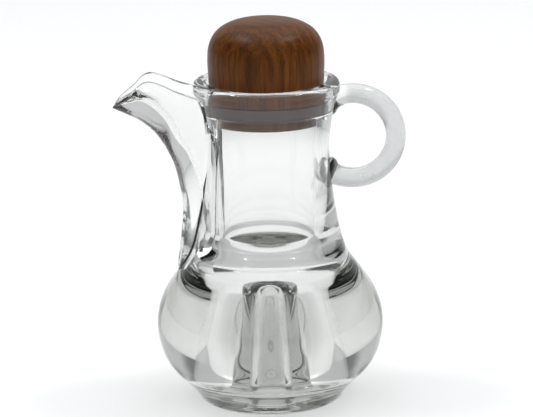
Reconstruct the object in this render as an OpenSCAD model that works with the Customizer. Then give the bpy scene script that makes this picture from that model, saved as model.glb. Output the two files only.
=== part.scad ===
// Table cruet for oil or vinegar: a thick clear glass bottle with a beak spout and a
// ring handle, closed by a turned wooden stopper that carries a soft seal.
// +Z is up, the axis of the bottle is Z, and the foot stands on z = 0.
// The spout points along -X and the handle along +X.

/* [Bottle outside] */
// Diameter of the foot where it meets the table
foot_d = 61.4; // [54:0.2:70]
// Height of the short upright foot wall
foot_h = 1.2; // [0.6:0.1:3]
// Largest diameter of the bulb
belly_d = 96.4; // [84:0.5:110]
// Height of the largest diameter
belly_z = 33.6; // [28:0.2:40]
// Smallest outside diameter of the neck
neck_d = 52; // [51:0.2:60]
// Height of the narrowest part of the neck
neck_z = 107; // [98:0.5:112]
// Outside diameter of the rim
rim_d = 61.4; // [60:0.2:68]
// Height of the rim's outer edge
rim_z = 132.4; // [130:0.2:136]
// Height of the lip above the rim's outer edge
lip_h = 5; // [3.5:0.1:6]

/* [Bottle inside] */
// Diameter of the straight bore through the neck
bore_d = 41.2; // [36:0.2:43]
// Diameter of the wider seat that takes the stopper's seal
seat_d = 50.2; // [46:0.2:52]
// Depth of that seat below the lip
seat_depth = 12.1; // [9:0.1:14]
// Diameter of the bulb's cavity
cavity_d = 63; // [56:0.5:70]
// Height at which the cavity has closed in to the bore
cavity_top = 71; // [66:0.5:76]
// Thickness of glass under the cavity's floor
floor_z = 12.3; // [9:0.1:16]
// Diameter of the raised kick-up at the cavity's floor
kick_d = 32.4; // [26:0.2:38]
// Height of the kick-up's round top
kick_z = 45.4; // [34:0.2:50]
// Diameter of the hollow under the foot
hollow_d = 13.4; // [9:0.2:16]
// Height of the hollow's round top
hollow_z = 37; // [22:0.5:40]
// Depth of the dish under the foot
dish_z = 4; // [2:0.1:6]

/* [Spout] */
// Distance of the spout's tip from the bottle's axis
tip_x = 64.5; // [58:0.5:72]
// Drop from the rim's outer edge to the spout's tip
tip_drop = 6; // [3:0.2:12]
// Rise from the rim's outer edge to the highest points of the spout's walls
crown_rise = 6.8; // [4:0.2:12]
// Width of the spout at the crown
spout_w = 21; // [16:0.2:26]
// Thickness of the spout's walls
spout_wall = 3.4; // [2.4:0.1:4.5]
// Distance of the keel from the axis where it runs upright beside the neck
keel_x = 36; // [33:0.2:40]
// Width of the slot through the neck into the spout
slot_w = 11; // [6:0.2:14]

/* [Handle] */
// Thickness of the glass rod
rod_d = 8.5; // [7:0.1:10]
// Outside diameter of the ring
ring_d = 44.8; // [40:0.2:52]
// How far the ring's near side would run into the neck
ring_sink = 12.6; // [10:0.2:16]
// Rise from the rim's outer edge to the top of the ring
ring_rise = 2.6; // [0:0.2:3]

/* [Stopper] */
// Largest diameter of the knob
knob_d = 48.8; // [42:0.2:52]
// Height of the knob above the seal
knob_h = 32.6; // [26:0.5:40]
// Thickness of the seal
seal_h = 5.2; // [3:0.1:7]
// Thickness of the wooden plug under the seal
plug_h = 4.7; // [3:0.1:10]
// Diameter of the hidden dowel
dowel_d = 12; // [8:0.5:16]
// Depth of the dowel in the knob
dowel_depth = 14; // [8:0.5:20]

/* [Fits] */
// Running clearance on each side of the seal and the plug
seal_gap = 0.05; // [0.02:0.01:0.1]
// Clearance between the plug and the bore, on each side
plug_gap = 0.3; // [0.2:0.05:1]
// Space between the knob's skirt and the seat, on each side
skirt_gap = 1.3; // [0.6:0.1:2]
// Space between glass pieces that are joined to the neck
joint_gap = 0.05; // [0.02:0.01:0.1]

/* [Hidden] */
$fn = 96;
glass = [0.82, 0.86, 0.86, 0.45];
teak = [0.42, 0.22, 0.1];
past = 1;                       // how far a cut runs past the face it opens
steps = 6;                      // curve points between two stations of an outline
mouth_z = rim_z + lip_h;        // crest of the lip
tip_z = rim_z - tip_drop;       // spout's tip
crown_z = rim_z + crown_rise;   // highest points of the spout's walls
ring_z = rim_z + ring_rise - ring_d / 2;
seat_z = mouth_z - seat_depth;  // ledge that the seal rests on
seal_top = seat_z + seal_h;

// One point of a curve through b and c that leaves along a-c and arrives along b-d.
function blend_point(a, b, c, d, t) =
  0.5 * (2 * b + (c - a) * t + (2 * a - 5 * b + 4 * c - d) * t * t
         + (3 * b - a - 3 * c + d) * t * t * t);

// A smooth curve through all the stations of a list.
function curve(p, n = steps) = [
  for (i = [0 : len(p) - 2], k = [0 : n - 1])
    blend_point(p[max(i - 1, 0)], p[i], p[i + 1], p[min(i + 2, len(p) - 1)], k / n),
  p[len(p) - 1]
];

// Stations of the outside, from the foot up to the rim, as [radius, height].
foot_r = foot_d / 2;
belly_r = belly_d / 2;
neck_r = neck_d / 2;
rim_r = rim_d / 2;
bulge = belly_r - foot_r;
slope = belly_r - neck_r;
rise = neck_z - belly_z;
outside = concat(
  [[foot_r, 0]],
  curve([
    [foot_r, foot_h],
    [foot_r + bulge * 0.26, belly_z * 0.21],
    [foot_r + bulge * 0.6, belly_z * 0.375],
    [foot_r + bulge * 0.84, belly_z * 0.565],
    [foot_r + bulge * 0.96, belly_z * 0.774],
    [belly_r, belly_z],
    [neck_r + slope * 0.92, belly_z + rise * 0.12],
    [neck_r + slope * 0.745, belly_z + rise * 0.223],
    [neck_r + slope * 0.54, belly_z + rise * 0.305],
    [neck_r + slope * 0.31, belly_z + rise * 0.405],
    [neck_r + slope * 0.185, belly_z + rise * 0.54],
    [neck_r + slope * 0.08, belly_z + rise * 0.72],
    [neck_r, neck_z],
    [neck_r + (rim_r - neck_r) * 0.34, neck_z + (rim_z - neck_z) * 0.62],
    [rim_r, rim_z]
  ])
);

// The lip: an upright band with a rounded corner, up to a flat crest.
crest_r = seat_d / 2 + 0.6;
crest_w = rim_r - crest_r;
lip_line = [
  [rim_r, rim_z],
  [rim_r, rim_z + lip_h * 0.56],
  [rim_r - crest_w * 0.05, rim_z + lip_h * 0.76],
  [rim_r - crest_w * 0.18, rim_z + lip_h * 0.91],
  [rim_r - crest_w * 0.38, rim_z + lip_h * 0.985],
  [rim_r - crest_w * 0.6, mouth_z],
  [crest_r, mouth_z]
];

// The whole outside as one solid of revolution, grown by `extra`.
module envelope(extra = 0) {
  top = mouth_z + (extra > 0 ? past : 0);
  lip = extra > 0 ? [[rim_r, top]] : lip_line;
  rotate_extrude()
    polygon(concat(
      [[0, 0]],
      [for (p = outside) [p[0] + extra, p[1]]],
      [for (p = lip) [p[0] + extra, p[1]]],
      [[0, top]]
    ));
}

// The bore, the seat and the bulb's cavity with the kick-up left standing.
module inside_space() {
  bore_r = bore_d / 2;
  seat_r = seat_d / 2;
  cavity_r = cavity_d / 2;
  kick_r = kick_d / 2;
  corner = 6;
  rotate_extrude()
    polygon(concat(
      [[0, kick_z]],
      curve([
        [0, kick_z],
        [kick_r * 0.42, kick_z - 0.6],
        [kick_r * 0.7, kick_z - 3.5],
        [kick_r * 0.81, kick_z - 8.5],
        [kick_r * 0.9, (kick_z + floor_z) / 2 - 3],
        [kick_r, floor_z + 3],
        [kick_r + 1.2, floor_z + 0.8],
        [kick_r + 3, floor_z]
      ], 4),
      [for (k = [0 : 6])
        [cavity_r - corner + corner * sin(15 * k), floor_z + corner - corner * cos(15 * k)]],
      curve([
        [cavity_r, cavity_top - 19],
        [cavity_r - 0.8, cavity_top - 14],
        [cavity_r - 3.5, cavity_top - 9.5],
        [bore_r + 3.5, cavity_top - 5.5],
        [bore_r + 0.8, cavity_top - 2],
        [bore_r, cavity_top + 1.5]
      ], 4),
      [[bore_r, seat_z], [seat_r, seat_z], [seat_r, mouth_z - 0.6],
       [crest_r, mouth_z], [crest_r, mouth_z + past], [0, mouth_z + past]]
    ));
}

// The dish and the narrow hollow under the foot.
module underside() {
  hollow_r = hollow_d / 2;
  ring_r = foot_r - 6;
  rotate_extrude()
    polygon(concat(
      [[0, -past], [ring_r, -past], [ring_r, 0]],
      curve([
        [ring_r, 0],
        [ring_r - 5, dish_z * 0.7],
        [hollow_r + 5, dish_z],
        [hollow_r + 1.2, dish_z + 1.5],
        [hollow_r, dish_z + 5],
        [hollow_r * 0.8, (dish_z + hollow_z) / 2],
        [hollow_r * 0.66, hollow_z - 7],
        [hollow_r * 0.5, hollow_z - 2],
        [0, hollow_z]
      ], 4)
    ));
}

// The slot through the neck wall: wide under the rim and pointed at the bottom.
module spout_slot() {
  slot_top = seat_z - 3.5;
  slot_bottom = cavity_top - 8;
  translate([-neck_r - 8, 0, 0])
    rotate([90, 0, 90])
      linear_extrude(height = neck_r)
        polygon([
          [0, slot_bottom],
          [slot_w * 0.26, slot_bottom + (slot_top - slot_bottom) * 0.4],
          [slot_w / 2, slot_top - 5],
          [slot_w / 2 - 2, slot_top],
          [-slot_w / 2 + 2, slot_top],
          [-slot_w / 2, slot_top - 5],
          [-slot_w * 0.26, slot_bottom + (slot_top - slot_bottom) * 0.4]
        ]);
}

module bottle_body() {
  color(glass)
    difference() {
      envelope();
      inside_space();
      underside();
      spout_slot();
    }
}

// The keel is the spout's underside and the crown its open top edge, as [x, z] stations
// that answer each other from the bulb up to the tip.
buried = neck_r - 4;
keel = curve([
  [-keel_x - 1, cavity_top - 20],
  [-keel_x - 2.8, cavity_top - 14],
  [-keel_x - 1.4, cavity_top - 3],
  [-keel_x - 0.2, tip_z - 46],
  [-keel_x - 0.6, tip_z - 37.6],
  [-keel_x - 2.7, tip_z - 26.6],
  [-keel_x - 5.7, tip_z - 19.2],
  [-keel_x - 10.6, tip_z - 11.3],
  [-tip_x + 11.8, tip_z - 5.9],
  [-tip_x + 5.5, tip_z - 2.6],
  [-tip_x + 1.5, tip_z - 0.7],
  [-tip_x, tip_z]
], 2);
crown = curve([
  [-buried, cavity_top - 19],
  [-buried, cavity_top - 12],
  [-buried, cavity_top + 2],
  [-buried, tip_z - 38],
  [-buried, tip_z - 22],
  [-buried, tip_z - 6],
  [-buried - 4, rim_z - 2.3],
  [-buried - 15, crown_z - 4.3],
  [-tip_x + 15.5, crown_z],
  [-tip_x + 8.5, crown_z - 4.8],
  [-tip_x + 3, tip_z + 4],
  [-tip_x + 0.6, tip_z + 0.9]
], 2);
half_width = curve([
  [1.5, 0], [3.6, 0], [5, 0], [6, 0], [7.4, 0], [10.5, 0], [spout_w / 2 + 3.4, 0],
  [spout_w / 2 + 1.2, 0], [spout_w / 2, 0], [spout_w * 0.36, 0], [spout_w * 0.18, 0],
  [1.3, 0]
], 2);
// How far the channel's floor lies above the keel, as a share of the section's height.
channel_floor = curve([
  [0.95, 0], [0.92, 0], [0.86, 0], [0.63, 0], [0.5, 0], [0.36, 0], [0.32, 0], [0.44, 0],
  [0.53, 0], [0.5, 0], [0.4, 0], [0.4, 0]
], 2);
rings = len(keel) - 1;
side_points = 10;

// One cross-section, a rounded V from one wall's top over the keel to the other's.
// `inset` narrows it, `lift` raises its bottom and `over` raises its top, both as shares
// of the section's height.
function section(i, inset = 0, lift = 0, over = 0) =
  let (k = keel[i], c = crown[i], w = max(half_width[i][0] - inset, 0.25))
    [for (j = [-side_points : side_points])
      let (a = 90 * j / side_points,
           y = w * sign(a) * pow(sin(abs(a)), 1.25),
           v = lift + (1 + over - lift) * (1 - cos(a)),
           p = k + (c - k) * v)
        [p[0], y, p[1]]];

// A closed skin over a run of cross-sections, each closed straight across its open top.
module loft(sections) {
  n = len(sections[0]);
  m = len(sections);
  polyhedron(
    points = [for (s = sections, p = s) p],
    faces = concat(
      [[for (j = [n - 1 : -1 : 0]) j]],
      [[for (j = [0 : n - 1]) (m - 1) * n + j]],
      [for (i = [0 : m - 2], j = [0 : n - 1])
        let (q = (j + 1) % n) [i * n + j, i * n + q, (i + 1) * n + j]],
      [for (i = [0 : m - 2], j = [0 : n - 1])
        let (q = (j + 1) % n) [(i + 1) * n + j, i * n + q, (i + 1) * n + q]]
    ),
    convexity = 6
  );
}

module pouring_spout() {
  first_channel = 4;
  color(glass)
    difference() {
      loft([for (i = [0 : rings]) section(i)]);
      loft([for (i = [first_channel : rings - 1])
        let (t = (i - first_channel) / (rings - first_channel))
          section(i, spout_wall * (1 - 0.6 * t), channel_floor[i][0], 0.35)]);
      envelope(joint_gap);
    }
}

module ring_handle() {
  ring_x = neck_r - ring_sink + ring_d / 2;
  rod_r = rod_d / 2;
  sweep_r = (ring_d - rod_d) / 2;
  root_x = neck_r + 2;
  root_dz = sqrt(pow(sweep_r, 2) - pow(ring_x - root_x, 2));
  color(glass)
    difference() {
      union() {
        translate([ring_x, 0, ring_z])
          rotate([90, 0, 0])
            rotate_extrude()
              translate([sweep_r, 0])
                circle(r = rod_r);
        for (side = [-1, 1])
          translate([neck_r - 3, 0, ring_z + side * root_dz])
            rotate([0, 90, 0])
              cylinder(h = 7, r1 = rod_r + 3, r2 = rod_r - 0.4);
      }
      envelope(joint_gap);
    }
}

module stopper_seal() {
  color([0.45, 0.42, 0.42])
    translate([0, 0, seat_z])
      difference() {
        cylinder(h = seal_h, d = seat_d - 2 * seal_gap);
        translate([0, 0, -past])
          cylinder(h = seal_h + 2 * past, d = dowel_d + 2 * seal_gap);
      }
}

module stopper_knob() {
  knob_r = knob_d / 2;
  skirt_r = seat_d / 2 - skirt_gap;
  base_z = seal_top + seal_gap;
  skirt_flare = 0.36;
  color(teak)
    difference() {
      rotate_extrude()
        polygon(concat(
          [[0, base_z], [skirt_r - 0.5, base_z], [skirt_r, base_z + 0.5]],
          curve([
            [skirt_r, base_z + 0.5],
            [skirt_r + skirt_flare, base_z + knob_h * 0.26],
            [knob_r, base_z + knob_h * 0.48],
            [knob_r * 0.975, base_z + knob_h * 0.66],
            [knob_r * 0.885, base_z + knob_h * 0.805],
            [knob_r * 0.72, base_z + knob_h * 0.91],
            [knob_r * 0.45, base_z + knob_h * 0.98],
            [0, base_z + knob_h]
          ])
        ));
      translate([0, 0, base_z - past])
        cylinder(h = dowel_depth + past, d = dowel_d + 2 * seal_gap);
    }
}

module stopper_plug() {
  plug_r = bore_d / 2 - plug_gap;
  top = seat_z - seal_gap;
  chamfer = 0.5;
  color(teak)
    difference() {
      rotate_extrude()
        polygon([
          [0, top - plug_h], [plug_r - chamfer, top - plug_h], [plug_r, top - plug_h + chamfer],
          [plug_r, top], [0, top]
        ]);
      translate([0, 0, top - plug_h - past])
        cylinder(h = plug_h + 2 * past, d = dowel_d + 2 * seal_gap);
    }
}

module stopper_dowel() {
  bottom = seat_z - seal_gap - plug_h;
  top = seal_top + seal_gap + dowel_depth - 0.5;
  color([0.62, 0.42, 0.24])
    translate([0, 0, bottom])
      cylinder(h = top - bottom, d = dowel_d);
}

bottle_body();
pouring_spout();
ring_handle();
stopper_seal();
stopper_knob();
stopper_plug();
stopper_dowel();
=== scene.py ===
import bpy
import bmesh
import math
from mathutils import Vector, Matrix


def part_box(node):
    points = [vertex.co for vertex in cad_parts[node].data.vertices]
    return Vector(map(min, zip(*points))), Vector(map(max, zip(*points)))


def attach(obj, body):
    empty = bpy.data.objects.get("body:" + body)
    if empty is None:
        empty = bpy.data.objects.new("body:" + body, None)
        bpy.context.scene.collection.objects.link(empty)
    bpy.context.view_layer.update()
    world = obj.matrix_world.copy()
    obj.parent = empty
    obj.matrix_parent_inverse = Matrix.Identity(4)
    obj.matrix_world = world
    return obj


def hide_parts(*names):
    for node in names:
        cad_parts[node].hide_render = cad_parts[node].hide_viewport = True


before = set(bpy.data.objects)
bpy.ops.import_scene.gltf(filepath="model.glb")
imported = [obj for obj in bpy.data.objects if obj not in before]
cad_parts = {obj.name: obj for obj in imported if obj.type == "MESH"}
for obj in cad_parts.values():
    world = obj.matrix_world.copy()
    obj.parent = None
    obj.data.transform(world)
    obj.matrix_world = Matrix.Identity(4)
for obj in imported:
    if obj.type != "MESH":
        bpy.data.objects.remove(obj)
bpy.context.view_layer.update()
mm = 0.001
sharpAngle = math.radians(35)
print("frame loaded:", sorted(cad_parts))

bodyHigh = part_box("bottle_body")[1]
spoutLow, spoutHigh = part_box("pouring_spout")
handleLow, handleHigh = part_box("ring_handle")
sealLow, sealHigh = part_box("stopper_seal")
knobLow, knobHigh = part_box("stopper_knob")
plugLow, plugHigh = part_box("stopper_plug")
dowelLow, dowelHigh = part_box("stopper_dowel")


def smoothPoint(a, b, c, d, t):
    return tuple(
        0.5 * (2 * q + (r - p) * t + (2 * p - 5 * q + 4 * r - s) * t * t + (3 * q - p - 3 * r + s) * t ** 3)
        for p, q, r, s in zip(a, b, c, d))


def smoothLine(stations, steps):
    # a curve through every station
    line = []
    last = len(stations) - 1
    for i in range(last):
        a, d = stations[max(i - 1, 0)], stations[min(i + 2, last)]
        for k in range(steps):
            line.append(smoothPoint(a, stations[i], stations[i + 1], d, k / steps))
    line.append(tuple(stations[-1]))
    return line


def relaxed(line, spacing, rounds):
    # evenly spaced and eased, so that the glass has no ripples where two curves meet
    even, left = [line[0]], spacing
    for a, b in zip(line, line[1:]):
        gap = math.dist(a, b)
        while gap > left:
            a = tuple(p + (q - p) * left / gap for p, q in zip(a, b))
            even.append(a)
            gap, left = math.dist(a, b), spacing
        left -= gap
    even.append(line[-1])
    for _ in range(rounds):
        even = [even[0]] + [tuple(0.25 * p + 0.5 * q + 0.25 * r for p, q, r in zip(*three))
                            for three in zip(even, even[1:], even[2:])] + [even[-1]]
    return even


def arcPoints(cx, cz, radius, start, end, steps):
    angles = [math.radians(start + (end - start) * k / steps) for k in range(steps + 1)]
    return [(cx + radius * math.cos(a), cz + radius * math.sin(a)) for a in angles]


def newObject(name, mesh):
    piece = bpy.data.objects.new(name, mesh)
    bpy.context.scene.collection.objects.link(piece)
    return piece


def meshFromBmesh(name, bm):
    mesh = bpy.data.meshes.new(name)
    bm.to_mesh(mesh)
    bm.free()
    return mesh


def bakedMesh(piece):
    # the evaluated piece as a plain mesh, its modifiers gone
    graph = bpy.context.evaluated_depsgraph_get()
    mesh = bpy.data.meshes.new_from_object(piece.evaluated_get(graph))
    mesh.name = piece.name
    piece.modifiers.clear()
    old = piece.data
    piece.data = mesh
    bpy.data.meshes.remove(old)


def combine(piece, other, operation):
    # piece becomes its union with, or difference from, the other
    mod = piece.modifiers.new("combine", "BOOLEAN")
    mod.operation = operation
    mod.solver = "EXACT"
    mod.object = other
    bakedMesh(piece)
    bpy.data.objects.remove(other)


def facingOut(bm):
    bmesh.ops.recalc_face_normals(bm, faces=bm.faces)
    if bm.calc_volume(signed=True) < 0:
        bmesh.ops.reverse_faces(bm, faces=bm.faces)


def finishPiece(piece, material, body, nodes):
    piece.data.materials.clear()
    piece.data.materials.append(material)
    piece.data.shade_smooth()
    piece.data.set_sharp_from_angle(angle=sharpAngle)
    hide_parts(*nodes)
    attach(piece, body)
    print("finished", piece.name, len(piece.data.polygons), "faces")


def feed(tree, source, socket):
    # the source is either another node's output or a value for the socket
    if isinstance(source, bpy.types.NodeSocket):
        tree.links.new(source, socket)
    else:
        socket.default_value = source


def addNode(tree, kind, inputs=None, **settings):
    node = tree.nodes.new(kind)
    for key, value in settings.items():
        setattr(node, key, value)
    for label, source in (inputs or {}).items():
        feed(tree, source, node.inputs[label])
    return node


def mathNode(tree, operation, *values):
    return addNode(tree, "ShaderNodeMath", dict(enumerate(values)), operation=operation).outputs[0]


def easedStep(tree, value, start, end, atStart=0.0, atEnd=1.0):
    return addNode(tree, "ShaderNodeMapRange", {
        "Value": value, "From Min": start, "From Max": end, "To Min": atStart, "To Max": atEnd},
        interpolation_type="SMOOTHSTEP").outputs[0]


def noiseNode(tree, vector, scale, detail, roughness=0.5):
    return addNode(tree, "ShaderNodeTexNoise", {
        "Vector": vector, "Scale": scale, "Detail": detail, "Roughness": roughness}).outputs[0]


def colourRamp(tree, value, *stops):
    node = addNode(tree, "ShaderNodeValToRGB", {0: value})
    for element, stop in zip(node.color_ramp.elements, stops):
        element.position, element.color = stop
    return node.outputs[0]


def mixColours(tree, kind, factor, a, b):
    # a mix node has its colours at inputs 6 and 7 and at output 2
    return addNode(tree, "ShaderNodeMix", {"Factor": factor, 6: a, 7: b},
                   data_type="RGBA", blend_type=kind).outputs[2]


def bumpInto(tree, shader, height, strength, distance):
    bump = addNode(tree, "ShaderNodeBump", {"Height": height, "Strength": strength, "Distance": distance})
    tree.links.new(bump.outputs[0], shader.inputs["Normal"])


def latheTree():
    # turns a profile line about Z, as a grid of Along x Around points
    tree = bpy.data.node_groups.new("turnedProfile", "GeometryNodeTree")
    face = tree.interface
    face.new_socket("Geometry", in_out="INPUT", socket_type="NodeSocketGeometry")
    for label, kind in (("Around", "NodeSocketInt"), ("Along", "NodeSocketInt"),
                        ("Waviness", "NodeSocketFloat"), ("Wave Size", "NodeSocketFloat"),
                        ("Material", "NodeSocketMaterial")):
        face.new_socket(label, in_out="INPUT", socket_type=kind)
    face.new_socket("Geometry", in_out="OUTPUT", socket_type="NodeSocketGeometry")
    given = addNode(tree, "NodeGroupInput").outputs

    # each grid point knows its column, a share of the profile, and its row, an angle
    around = mathNode(tree, "ADD", given["Around"], 1)
    grid = addNode(tree, "GeometryNodeMeshGrid", {"Vertices X": given["Along"], "Vertices Y": around})
    index = addNode(tree, "GeometryNodeInputIndex").outputs[0]
    halfOn = mathNode(tree, "ADD", index, 0.5)
    column = mathNode(tree, "FLOOR", mathNode(tree, "DIVIDE", halfOn, around))
    row = mathNode(tree, "SUBTRACT", index, mathNode(tree, "MULTIPLY", column, around))
    share = mathNode(tree, "DIVIDE", column, mathNode(tree, "SUBTRACT", given["Along"], 1))
    turn = mathNode(tree, "DIVIDE", row, given["Around"])
    angle = mathNode(tree, "MULTIPLY", turn, 2 * math.pi)

    toCurve = addNode(tree, "GeometryNodeMeshToCurve", {"Mesh": given["Geometry"]})
    sample = addNode(tree, "GeometryNodeSampleCurve", {"Curves": toCurve.outputs[0], "Factor": share},
                     mode="FACTOR")
    apart = addNode(tree, "ShaderNodeSeparateXYZ", {0: sample.outputs["Position"]}).outputs
    place = addNode(tree, "ShaderNodeCombineXYZ", {
        0: mathNode(tree, "MULTIPLY", apart[0], mathNode(tree, "COSINE", angle)),
        1: mathNode(tree, "MULTIPLY", apart[0], mathNode(tree, "SINE", angle)),
        2: apart[2]}).outputs[0]

    # hand finishing: the surface wanders a little, by noise read at the point itself
    noise = noiseNode(tree, place, given["Wave Size"], 0.0)
    amount = mathNode(tree, "MULTIPLY", mathNode(tree, "SUBTRACT", noise, 0.5), given["Waviness"])
    radial = addNode(tree, "ShaderNodeVectorMath", {0: place, 1: (1, 1, 0)}, operation="MULTIPLY")
    shift = addNode(tree, "ShaderNodeVectorMath", {0: radial.outputs[0], "Scale": amount},
                    operation="SCALE")
    moved = addNode(tree, "ShaderNodeVectorMath", {0: place, 1: shift.outputs[0]}, operation="ADD")
    setPos = addNode(tree, "GeometryNodeSetPosition", {
        "Geometry": grid.outputs["Mesh"], "Position": moved.outputs[0]})
    merge = addNode(tree, "GeometryNodeMergeByDistance", {
        "Geometry": setPos.outputs[0], "Distance": 0.002 * mm})
    real = addNode(tree, "GeometryNodeRealizeInstances", {0: merge.outputs[0]})
    coat = addNode(tree, "GeometryNodeSetMaterial", {
        "Geometry": real.outputs[0], "Material": given["Material"]})
    addNode(tree, "NodeGroupOutput", {"Geometry": coat.outputs[0]})
    return tree


turned = latheTree()


def turnProfile(name, profile, around, along, material, waviness=0.0, waveSize=40.0):
    # profile: [radius, height] in mm, from one end on the axis to the other
    bm = bmesh.new()
    verts = [bm.verts.new((r * mm, 0, z * mm)) for r, z in profile]
    for a, b in zip(verts, verts[1:]):
        bm.edges.new((a, b))
    piece = newObject(name, meshFromBmesh(name, bm))
    mod = piece.modifiers.new("turned", "NODES")
    mod.node_group = turned
    ids = {s.name: s.identifier for s in turned.interface.items_tree if s.in_out == "INPUT"}
    for label, value in (("Around", around), ("Along", along), ("Waviness", waviness),
                         ("Wave Size", waveSize), ("Material", material)):
        mod[ids[label]] = value
    bakedMesh(piece)
    bm = bmesh.new()
    bm.from_mesh(piece.data)
    bmesh.ops.remove_doubles(bm, verts=bm.verts, dist=0.003 * mm)
    facingOut(bm)
    bm.to_mesh(piece.data)
    bm.free()
    return piece


def newMaterial(name):
    material = bpy.data.materials.new(name)
    material.use_nodes = True
    return material, material.node_tree, material.node_tree.nodes["Principled BSDF"]


def clearGlass(name, g, handleSheen):
    material, tree, shader = newMaterial(name)
    links, ends = tree.links, tree.nodes["Material Output"].inputs
    shader.inputs["Roughness"].default_value = 0.0
    shader.inputs["IOR"].default_value = 1.5
    here = addNode(tree, "ShaderNodeTexCoord").outputs["Object"]
    apart = addNode(tree, "ShaderNodeSeparateXYZ", {0: here}).outputs

    # painted reflection: the handle lets less light through and its colour is whitened and streaked,
    # standing in for the light box reflected in it; the limit leans with the neck
    outward = mathNode(tree, "MULTIPLY_ADD", apart[2], -handleSheen["lean"], apart[0])
    onHandle = mathNode(tree, "MULTIPLY", easedStep(tree, outward, handleSheen["fromX"], handleSheen["toX"]),
                        easedStep(tree, apart[2], handleSheen["fromZ"], handleSheen["toZ"]))
    links.new(easedStep(tree, onHandle, 0.0, 1.0, 1.0, handleSheen["clear"]),
              shader.inputs["Transmission Weight"])
    # painted highlight: lighter and darker streaks in the handle's colour
    sheenStreak = noiseNode(tree, here, handleSheen["streakScale"], 3.0)
    paintedSheen = colourRamp(tree, sheenStreak, (0.35, handleSheen["dull"]), (0.62, handleSheen["bright"]))
    links.new(mixColours(tree, "MIX", onHandle, g["surface"], paintedSheen), shader.inputs["Base Color"])
    bumpInto(tree, shader, noiseNode(tree, here, g["rippleScale"], 1.5), g["ripple"], g["rippleDepth"])
    soak = addNode(tree, "ShaderNodeVolumeAbsorption", {"Color": g["tint"], "Density": g["density"]})
    links.new(soak.outputs[0], ends["Volume"])

    # glass lets the light through to the table, so it casts only a faint shadow
    path = addNode(tree, "ShaderNodeLightPath").outputs
    through = mathNode(tree, "MAXIMUM", path["Is Shadow Ray"], path["Is Diffuse Ray"])
    clear = addNode(tree, "ShaderNodeBsdfTransparent", {"Color": g["shadow"]})
    blend = addNode(tree, "ShaderNodeMixShader", {0: through, 1: shader.outputs[0], 2: clear.outputs[0]})
    links.new(blend.outputs[0], ends["Surface"])
    return material


def turnedTeak(name, g, light, dark, pore):
    material, tree, shader = newMaterial(name)
    links = tree.links
    here = addNode(tree, "ShaderNodeTexCoord").outputs["Object"]

    def grain(lengthways, shift=(0, 0, 0)):
        # the grain runs along Z, so its patterns are stretched that way
        return addNode(tree, "ShaderNodeMapping", {
            "Vector": here, "Scale": (1, 1, lengthways), "Location": shift}).outputs[0]

    # growth rings, seen as upright figure on the sides
    wave = addNode(tree, "ShaderNodeTexWave", {
        "Vector": grain(0.1, g["heart"]), "Scale": g["rings"], "Distortion": g["wander"],
        "Detail": 2.0, "Detail Scale": 0.6}, wave_type="RINGS", rings_direction="Z")
    fine = noiseNode(tree, grain(0.05), g["fibres"], 4.0, 0.65)
    broad = noiseNode(tree, grain(0.14), g["blotches"], 2.0)
    pores = noiseNode(tree, grain(0.03), g["pores"], 2.0, 0.6)
    colour = colourRamp(tree, wave.outputs[0], (0.15, light), (0.85, dark))
    streaks = colourRamp(tree, fine, (0.36, (0.3, 0.27, 0.24, 1)), (0.62, (1.1, 1.08, 1.05, 1)))
    colour = mixColours(tree, "MULTIPLY", g["contrast"], colour, streaks)
    blotch = colourRamp(tree, broad, (0.32, (0.55, 0.5, 0.45, 1)), (0.68, (1.2, 1.16, 1.1, 1)))
    colour = mixColours(tree, "MULTIPLY", g["contrast"], colour, blotch)
    poreMask = colourRamp(tree, pores, (0.58, (0, 0, 0, 1)), (0.68, (1, 1, 1, 1)))
    links.new(mixColours(tree, "MIX", poreMask, colour, pore), shader.inputs["Base Color"])
    satin = addNode(tree, "ShaderNodeMapRange", {
        "Value": fine, "To Min": g["smoothest"], "To Max": g["roughest"]})
    links.new(satin.outputs[0], shader.inputs["Roughness"])
    bumpInto(tree, shader, fine, g["relief"], g["depth"])
    shader.inputs["Specular IOR Level"].default_value = g["shine"]
    return material


def softSeal(name, colour):
    material, tree, shader = newMaterial(name)
    here = addNode(tree, "ShaderNodeTexCoord").outputs["Object"]
    mottle = noiseNode(tree, here, 240.0, 3.0)
    darker, lighter = [[c * share for c in colour] + [1] for share in (0.85, 1.15)]
    tree.links.new(colourRamp(tree, mottle, (0.0, darker), (1.0, lighter)), shader.inputs["Base Color"])
    bumpInto(tree, shader, mottle, 0.15, 0.1 * mm)
    shader.inputs["Roughness"].default_value = 0.5
    return material


glassLook = {
    "surface": (1, 1, 1, 1), "tint": (0.942, 0.944, 0.94, 1), "density": 170.0,
    "ripple": 0.05, "rippleScale": 55.0, "rippleDepth": 0.6 * mm, "shadow": (0.965, 0.97, 0.97, 1),
}
# painted reflection on the handle: less clear glass with a whitened, streaked colour in place of the light
# box reflected in it
handleSheenLook = {
    "lean": 0.2, "fromX": 0.0062, "toX": 0.0092, "fromZ": 0.084, "toZ": 0.088, "clear": 0.72,
    "streakScale": 60.0, "dull": (0.78, 0.79, 0.79, 1), "bright": (0.87, 0.88, 0.88, 1),
}
woodLook = {
    "heart": (0.031, 0.044, 0), "rings": 64.0, "wander": 3.5, "fibres": 620.0, "blotches": 46.0,
    "pores": 1900.0, "contrast": 0.7, "smoothest": 0.3, "roughest": 0.42, "relief": 0.25,
    "depth": 0.2 * mm, "shine": 0.13,
}
bottleGlass = clearGlass("bottleGlass", glassLook, handleSheenLook)
teak = turnedTeak("teak", woodLook, (0.15, 0.05, 0.005, 1), (0.118, 0.035, 0.003, 1),
                  (0.03, 0.008, 0.002, 1))
dowelWood = turnedTeak("dowelWood", woodLook, (0.52, 0.34, 0.18, 1), (0.4, 0.24, 0.11, 1),
                       (0.25, 0.14, 0.06, 1))
sealRubber = softSeal("sealRubber", (0.082, 0.054, 0.05))
print("materials made")

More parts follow.
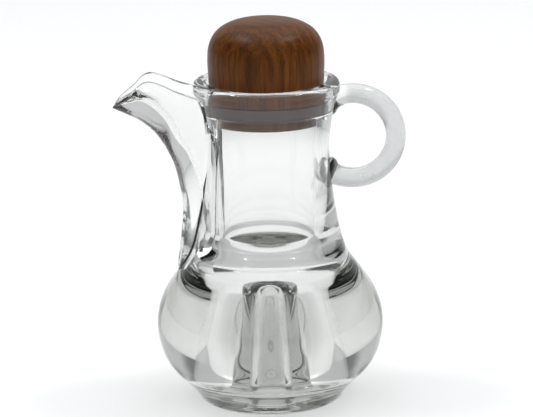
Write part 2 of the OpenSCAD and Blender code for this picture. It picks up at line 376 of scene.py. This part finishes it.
bottle = {
    "footR": 30.7, "footH": 1.2, "footRing": 6.0, "bellyR": bodyHigh.y / mm, "bellyZ": 33.6,
    "neckR": 26.0, "neckZ": 107.0, "rimR": 30.7, "rimZ": 132.4, "underCut": 0.45,
    "mouthZ": bodyHigh.z / mm, "seatR": 25.1, "seatDepth": 12.1, "boreR": 20.6,
    "cavityR": 31.5, "cavityTop": 71.0, "floorZ": 12.3, "cornerR": 6.0,
    "kickR": 16.2, "kickZ": 45.5, "hollowR": 6.7, "hollowZ": 37.0, "dishZ": 4.0,
    "around": 224, "along": 760, "waviness": 0.0015, "waveSize": 38.0,
}


def outsideLine(b):
    bulge, slope = b["bellyR"] - b["footR"], b["bellyR"] - b["neckR"]
    rise, flare = b["neckZ"] - b["bellyZ"], b["rimR"] - b["neckR"]
    stations = [(b["footR"], b["footH"])]
    for share, height in ((0.26, 0.21), (0.6, 0.375), (0.84, 0.565), (0.96, 0.774), (1.0, 1.0)):
        stations.append((b["footR"] + bulge * share, b["bellyZ"] * height))
    for share, height in ((0.92, 0.12), (0.745, 0.223), (0.54, 0.305), (0.31, 0.405), (0.185, 0.54),
                          (0.08, 0.72), (0.0, 1.0)):
        stations.append((b["neckR"] + slope * share, b["bellyZ"] + rise * height))
    stations.append((b["neckR"] + flare * 0.34, b["neckZ"] + (b["rimZ"] - b["neckZ"]) * 0.62))
    stations.append((b["rimR"] - b["underCut"], b["rimZ"] - b["underCut"] * 0.6))
    return relaxed(smoothLine(stations, 12), 0.5, 90)


def footLine(b):
    # up the hollow's wall and over the dish to the foot's outer edge
    ringR, hollow, dish = b["footR"] - b["footRing"], b["hollowR"], b["dishZ"]
    line = smoothLine([
        (0, b["hollowZ"]), (hollow * 0.5, b["hollowZ"] - 2), (hollow * 0.66, b["hollowZ"] - 7),
        (hollow * 0.8, (dish + b["hollowZ"]) / 2), (hollow, dish + 5), (hollow + 1.2, dish + 1.5),
        (hollow + 5, dish), (ringR - 5, dish * 0.7), (ringR, 0.25)], 8)
    return line + [(ringR + 0.6, 0.0), (b["footR"] - 0.7, 0.0), (b["footR"] - 0.2, 0.2), (b["footR"], 0.7)]


def lipLine(b):
    # an upright band with a rounded corner, a flat crest, and the seat that holds the seal
    seat, bore = b["seatR"], b["boreR"]
    crest, rise = seat + 0.6, b["mouthZ"] - b["rimZ"]
    width, seatZ = b["rimR"] - crest, b["mouthZ"] - b["seatDepth"]
    corner = ((1.0, 0.05), (1.0, 0.56), (0.95, 0.76), (0.82, 0.91), (0.62, 0.985), (0.4, 1.0), (0.0, 1.0))
    line = smoothLine([(crest + width * w, b["rimZ"] + rise * h) for w, h in corner], 5)
    line += [(seat + 0.17, b["mouthZ"] - 0.18), (seat, b["mouthZ"] - 0.6)]
    return line + [(seat, seatZ + 0.4), (seat - 0.4, seatZ), (bore + 0.4, seatZ), (bore, seatZ - 0.4)]


def insideLine(b):
    # down the bore, round the cavity, and up over the kick-up to the axis
    bore, top, floor = b["boreR"], b["cavityTop"], b["floorZ"]
    cavity, corner, kick, kickZ = b["cavityR"], b["cornerR"], b["kickR"], b["kickZ"]
    line = relaxed(smoothLine([
        (bore, top + 1.5), (bore + 0.8, top - 2), (bore + 3.5, top - 5.5), (cavity - 3.5, top - 9.5),
        (cavity - 0.8, top - 14), (cavity, top - 19)], 8), 0.4, 20)
    line += arcPoints(cavity - corner, floor + corner, corner, 0, -90, 12)
    return line + relaxed(smoothLine([
        (kick + 3, floor), (kick + 1.2, floor + 0.8), (kick, floor + 3),
        (kick * 0.9, (kickZ + floor) / 2 - 3), (kick * 0.81, kickZ - 8.5),
        (kick * 0.7, kickZ - 3.5), (kick * 0.42, kickZ - 0.6), (0, kickZ)], 8), 0.4, 20)


bottleProfile = footLine(bottle) + outsideLine(bottle) + lipLine(bottle) + insideLine(bottle)
glassPiece = turnProfile("glassBottle", bottleProfile, bottle["around"], bottle["along"], bottleGlass,
                         bottle["waviness"], bottle["waveSize"])
print("bottle turned", len(glassPiece.data.polygons))

spout = {
    "tipX": -spoutLow.x / mm, "tipZ": 126.4, "crownZ": spoutHigh.z / mm, "width": 21.0, "keelX": 36.0,
    "buried": 22.0, "fullness": 1.25, "leastWidth": 0.25, "wall": 3.4, "thinning": 0.6,
    "channelFrom": 2, "openAbove": 0.35, "steps": 5, "side": 14,
}


def spoutLines(s, b):
    # for each station: the keel below, the crown above, the half width and the channel's floor
    k, t, top = s["keelX"], s["tipX"], b["cavityTop"]
    tz, cz, bury, half = s["tipZ"], s["crownZ"], s["buried"], s["width"] / 2
    keel = [(-k - 1, top - 20), (-k - 2.8, top - 14), (-k - 1.4, top - 3), (-k - 0.2, tz - 46),
            (-k - 0.6, tz - 37.6), (-k - 2.7, tz - 26.6), (-k - 5.7, tz - 19.2), (-k - 10.6, tz - 11.3),
            (-t + 11.8, tz - 5.9), (-t + 5.5, tz - 2.6), (-t + 1.5, tz - 0.7), (-t, tz)]
    crown = [(-bury, top - 19), (-bury, top - 12), (-bury, top + 2), (-bury, tz - 38), (-bury, tz - 22),
             (-bury, tz - 6), (-bury - 4, b["rimZ"] - 2.3), (-bury - 15, cz - 4.3), (-t + 15.5, cz),
             (-t + 8.5, cz - 4.8), (-t + 3, tz + 4), (-t + 0.6, tz + 0.9)]
    wide = [1.5, 3.6, 5, 6, 7.4, 10.5, half + 3.4, half + 1.2, half, half * 0.72, half * 0.36, 1.3]
    floor = [0.95, 0.92, 0.86, 0.63, 0.5, 0.36, 0.32, 0.44, 0.53, 0.5, 0.4, 0.4]
    return list(zip(*(smoothLine(line, s["steps"]) for line in (keel, crown, list(zip(wide, floor))))))


def spoutSection(s, keel, crown, halfWidth, floor=0.0, over=0.0):
    # a closed loop from the keel's side of the crown, round the floor and back
    loop = []
    for j in range(-s["side"], s["side"] + 1):
        a = math.radians(90 * j / s["side"])
        y = max(halfWidth, s["leastWidth"]) * math.copysign(abs(math.sin(a)) ** s["fullness"], a)
        v = floor + (1 + over - floor) * (1 - math.cos(a))
        x, z = (p + (q - p) * v for p, q in zip(keel, crown))
        loop.append((x * mm, y * mm, z * mm))
    return loop


def channelSections(s, stations):
    # the channel stops short of the tip, and its walls grow thinner towards it
    first = s["channelFrom"] * s["steps"]
    sections = []
    for i, (keel, crown, (halfWidth, floor)) in enumerate(stations[first:-2]):
        wall = s["wall"] * (1 - s["thinning"] * i / (len(stations) - 1 - first))
        sections.append(spoutSection(s, keel, crown, halfWidth - wall, floor, s["openAbove"]))
    return sections


def skin(name, sections):
    bm = bmesh.new()
    rows = [[bm.verts.new(p) for p in section] for section in sections]
    n = len(rows[0])
    for a, b in zip(rows, rows[1:]):
        for j in range(n):
            q = (j + 1) % n
            bm.faces.new((a[j], a[q], b[q], b[j]))
    bm.faces.new(list(reversed(rows[0])))
    bm.faces.new(rows[-1])
    facingOut(bm)
    return newObject(name, meshFromBmesh(name, bm))


stations = spoutLines(spout, bottle)
spoutSkin = skin("beakSpout", [spoutSection(spout, keel, crown, wide[0]) for keel, crown, wide in stations])
channel = skin("channel", channelSections(spout, stations))
print("spout lofted")

fingerRing = {
    "rodR": 4.25, "outerR": (handleHigh.z - handleLow.z) / 2 / mm, "reach": handleHigh.x / mm,
    "centreZ": (handleHigh.z + handleLow.z) / 2 / mm, "rootDepth": 2.5, "rootR": 5.8,
    "rootFull": 3.2, "rootLength": 5.0, "along": 96, "around": 40,
}


def handleSkin(h, b):
    # a rod swept round an arc that starts and ends in the neck's wall, thicker at both roots
    sweep = h["outerR"] - h["rodR"]
    cx, cz = h["reach"] - h["outerR"], h["centreZ"]
    start = math.acos((b["neckR"] - h["rootDepth"] - cx) / sweep)
    step = 2 * start / h["along"]
    sections = []
    for i in range(h["along"] + 1):
        a = start - step * i
        past = max(min(i, h["along"] - i) * step * sweep - h["rootFull"], 0)
        r = h["rodR"] + (h["rootR"] - h["rodR"]) * math.exp(-3.0 * past / h["rootLength"])
        section = []
        for j in range(h["around"]):
            u = 2 * math.pi * j / h["around"]
            out = sweep + r * math.cos(u)
            x, y, z = cx + out * math.cos(a), r * math.sin(u), cz + out * math.sin(a)
            section.append((x * mm, y * mm, z * mm))
        sections.append(section)
    return skin("ringHandle", sections)


handle = handleSkin(fingerRing, bottle)
print("handle swept")

neckCore = {"wall": 2.5, "height": 120.0, "centreZ": 90.0, "around": 96}


def boreCore(c, b):
    # the space inside the neck, to trim what is joined to it
    r = (b["neckR"] - c["wall"]) * mm
    bm = bmesh.new()
    bmesh.ops.create_cone(bm, segments=c["around"], radius1=r, radius2=r, depth=c["height"] * mm,
                          cap_ends=True)
    bmesh.ops.translate(bm, verts=bm.verts, vec=(0, 0, c["centreZ"] * mm))
    return newObject("core", meshFromBmesh("core", bm))


combine(spoutSkin, channel, "DIFFERENCE")
for joined in (spoutSkin, handle):
    combine(joined, boreCore(neckCore, bottle), "DIFFERENCE")
for joined in (spoutSkin, handle):
    combine(glassPiece, joined, "UNION")

slotCut = {
    "width": 11.0, "bottom": bottle["cavityTop"] - 8, "top": bottle["mouthZ"] - bottle["seatDepth"] - 3.5,
    "shoulder": 5.0, "cornerIn": 2.0, "outX": bottle["neckR"] + 1.2, "inX": 8.0,
}


def slotSkin(s):
    # the slot narrows downwards to a point, where the spout's channel ends
    half, low, high = s["width"] / 2, s["bottom"], s["top"]
    right = [(half * 0.52, low + (high - low) * 0.4), (half, high - s["shoulder"]),
             (half - s["cornerIn"], high)]
    outline = [(0, low)] + right + [(-y, z) for y, z in reversed(right)]
    sections = [[(-x * mm, y * mm, z * mm) for y, z in outline] for x in (s["outX"], s["inX"])]
    return skin("slot", sections)


combine(glassPiece, slotSkin(slotCut), "DIFFERENCE")
print("glass fused", len(glassPiece.data.polygons))
finishPiece(glassPiece, bottleGlass, "bottle",
            ["bottle_body", "pouring_spout", "ring_handle"])

dowel = {"r": dowelHigh.x / mm, "low": dowelLow.z / mm, "high": dowelHigh.z / mm, "gap": 0.05,
         "chamfer": 0.6, "around": 96, "along": 120}
knob = {"r": knobHigh.x / mm, "baseZ": knobLow.z / mm, "topZ": knobHigh.z / mm, "skirtR": 23.8,
        "holeR": dowel["r"] + dowel["gap"], "holeTop": dowel["high"] + 0.5, "around": 160, "along": 240}


def knobProfile(k):
    h, r, s, z = k["topZ"] - k["baseZ"], k["r"], k["skirtR"], k["baseZ"]
    line = [(0, k["holeTop"]), (k["holeR"], k["holeTop"]), (k["holeR"], z)]
    line += [(s - 0.5, z), (s - 0.15, z + 0.15), (s, z + 0.5)]
    line += smoothLine([
        (s, z + 0.5), (s + (r - s) * 0.6, z + h * 0.26), (r, z + h * 0.48), (r * 0.975, z + h * 0.66),
        (r * 0.885, z + h * 0.805), (r * 0.72, z + h * 0.91), (r * 0.45, z + h * 0.98), (0, z + h)], 10)
    return line


knobPiece = turnProfile("turnedKnob", knobProfile(knob), knob["around"], knob["along"], teak)
finishPiece(knobPiece, teak, "stopper", ["stopper_knob"])


def dowelProfile(d):
    r, low, high, c = d["r"], d["low"], d["high"], d["chamfer"]
    return [(0, low), (r - c, low), (r, low + c), (r, high - c), (r - c, high), (0, high)]


dowelPiece = turnProfile("hiddenDowel", dowelProfile(dowel), dowel["around"], dowel["along"], dowelWood)
finishPiece(dowelPiece, dowelWood, "stopper", ["stopper_dowel"])

plug = {"r": plugHigh.x / mm, "low": plugLow.z / mm, "high": plugHigh.z / mm, "chamfer": 0.5,
        "holeR": knob["holeR"], "around": 128, "along": 200}
seal = {"r": sealHigh.x / mm, "low": sealLow.z / mm, "high": sealHigh.z / mm, "chamfer": 0.4,
        "holeR": knob["holeR"], "around": 128, "along": 200}


def washerProfile(w):
    r, low, high, c, hole = w["r"], w["low"], w["high"], w["chamfer"], w["holeR"]
    return [(hole, low), (r - c, low), (r - c * 0.3, low + c * 0.3), (r, low + c), (r, high - c),
            (r - c * 0.3, high - c * 0.3), (r - c, high), (hole, high), (hole, low)]


plugPiece = turnProfile("stopperPlug", washerProfile(plug), plug["around"], plug["along"], teak)
finishPiece(plugPiece, teak, "stopper", ["stopper_plug"])
sealPiece = turnProfile("sealBand", washerProfile(seal), seal["around"], seal["along"], sealRubber)
finishPiece(sealPiece, sealRubber, "seal", ["stopper_seal"])
print("stopper made")

view = {
    "elevation": 15.4, "yaw": -0.2, "roll": -0.99, "distance": 1.15, "targetZ": 0.075,
    "right": -0.0008, "up": 0.00638, "scale": 2365.0, "imageWidth": 533.0, "sensor": 36.0, "farEnd": 50.0,
}


def addCamera(v):
    e, y = math.radians(v["elevation"]), math.radians(v["yaw"])
    back = Vector((math.sin(y) * math.cos(e), -math.cos(y) * math.cos(e), math.sin(e)))
    right = Vector((math.cos(y), math.sin(y), 0))
    up = back.cross(right)
    target = Vector((0, 0, v["targetZ"])) + right * v["right"] + up * v["up"]
    data = bpy.data.cameras.new("camera")
    data.sensor_width = v["sensor"]
    data.lens = v["scale"] * v["distance"] * v["sensor"] / v["imageWidth"]
    data.clip_end = v["farEnd"]
    camera = bpy.data.objects.new("camera", data)
    place = Matrix.Translation(target + back * v["distance"])
    turn = Matrix((right, up, back)).transposed().to_4x4()
    camera.matrix_world = place @ turn @ Matrix.Rotation(math.radians(v["roll"]), 4, "Z")
    bpy.context.scene.collection.objects.link(camera)
    bpy.context.scene.camera = camera


table = {"size": 6.0, "colour": (0.9, 0.9, 0.9, 1), "roughness": 0.9}


def addFloor(f):
    bm = bmesh.new()
    bmesh.ops.create_grid(bm, x_segments=2, y_segments=2, size=f["size"])
    floor = newObject("floor", meshFromBmesh("floor", bm))
    material, _, shader = newMaterial("paleFloor")
    shader.inputs["Base Color"].default_value = f["colour"]
    shader.inputs["Roughness"].default_value = f["roughness"]
    floor.data.materials.append(material)


lamps = [
    {"name": "leftBox", "place": (-0.5, 0.05, 1.1), "aim": (0, 0, 0.13), "side": 0.14, "watts": 2.0},
    {"name": "rightBox", "place": (0.5, 0.05, 1.1), "aim": (0, 0, 0.13), "side": 0.14, "watts": 2.0},
    {"name": "topBox", "place": (0, 0.6, 2.6), "aim": (0, 0.5, 0), "side": 3.2, "watts": 43.0},
]


def addLamp(lamp):
    data = bpy.data.lights.new(lamp["name"], "AREA")
    data.shape = "RECTANGLE"
    data.size = data.size_y = lamp["side"]
    data.energy = lamp["watts"]
    box = bpy.data.objects.new(lamp["name"], data)
    box.location = lamp["place"]
    towards = Vector(lamp["aim"]) - Vector(lamp["place"])
    box.rotation_euler = towards.to_track_quat("-Z", "Y").to_euler()
    bpy.context.scene.collection.objects.link(box)


studio = {
    "front": 0.42, "back": 0.68, "frontEdge": (-0.97, -0.8), "sides": 0.28, "sideEdge": (0.5, 0.85),
    "colour": (0.97, 0.985, 1.0, 1),
}


def addWorld(w):
    # brighter behind the bottle, darker to both sides and towards the camera
    world = bpy.data.worlds.new("studio")
    bpy.context.scene.world = world
    world.use_nodes = True
    tree = world.node_tree
    towards = addNode(tree, "ShaderNodeTexCoord").outputs["Generated"]
    apart = addNode(tree, "ShaderNodeSeparateXYZ", {0: towards}).outputs
    depth = easedStep(tree, apart[1], *w["frontEdge"], w["front"], w["back"])
    sideways = mathNode(tree, "ABSOLUTE", apart[0])
    sides = easedStep(tree, sideways, *w["sideEdge"], 1.0, w["sides"])
    sky = tree.nodes["Background"].inputs
    sky["Color"].default_value = w["colour"]
    tree.links.new(mathNode(tree, "MULTIPLY", depth, sides), sky["Strength"])


addCamera(view)
addFloor(table)
addWorld(studio)
for lamp in lamps:
    addLamp(lamp)
bpy.context.scene.view_settings.view_transform = "Standard"
print("stage set")
